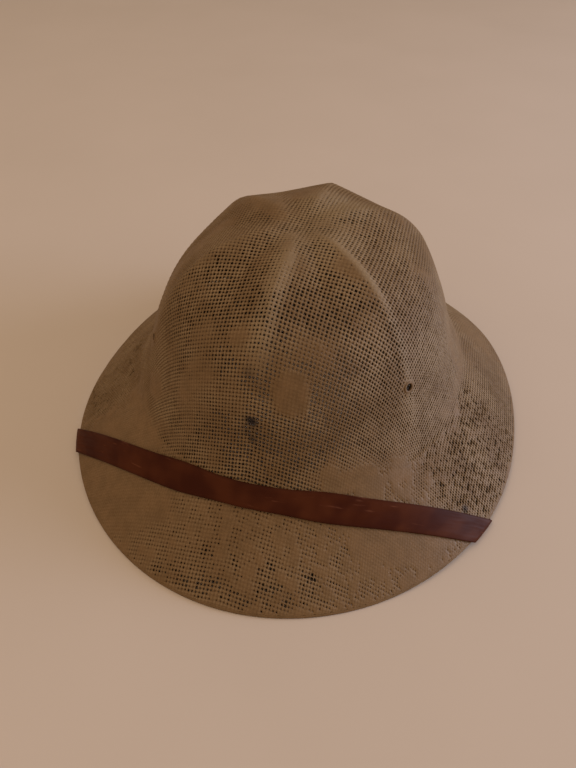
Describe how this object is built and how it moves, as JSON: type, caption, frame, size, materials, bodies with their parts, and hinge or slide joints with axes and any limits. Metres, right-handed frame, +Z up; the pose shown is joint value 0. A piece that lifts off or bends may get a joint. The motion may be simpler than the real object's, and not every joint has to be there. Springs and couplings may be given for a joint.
{
  "type": "pith helmet",
  "caption": "Pith helmet of stiffened open-weave cloth with a ribbed crown, sloping brim and a leather chin strap worn up over the front of the brim.",
  "frame": {"origin": "on the resting surface, under the middle of the brim", "axes": "+Z up, the wearer's front towards -Y, the wearer's left towards +X"},
  "size_m": [0.286, 0.322, 0.1366],
  "materials": {
    "woven_shell": "open plain weave stiffened and painted khaki, matt, with clogged patches where the paint fills the holes",
    "strap_leather": "smooth red-brown leather, semi-matt, scuffed and darker along its edges",
    "rivet_brass": "dull brass, lightly tarnished"
  },
  "bodies": {
    "root": {"shell": "woven_shell", "chin_strap": "strap_leather", "strap_rivet_left": "rivet_brass", "strap_rivet_right": "rivet_brass"}
  },
  "joints": []
}
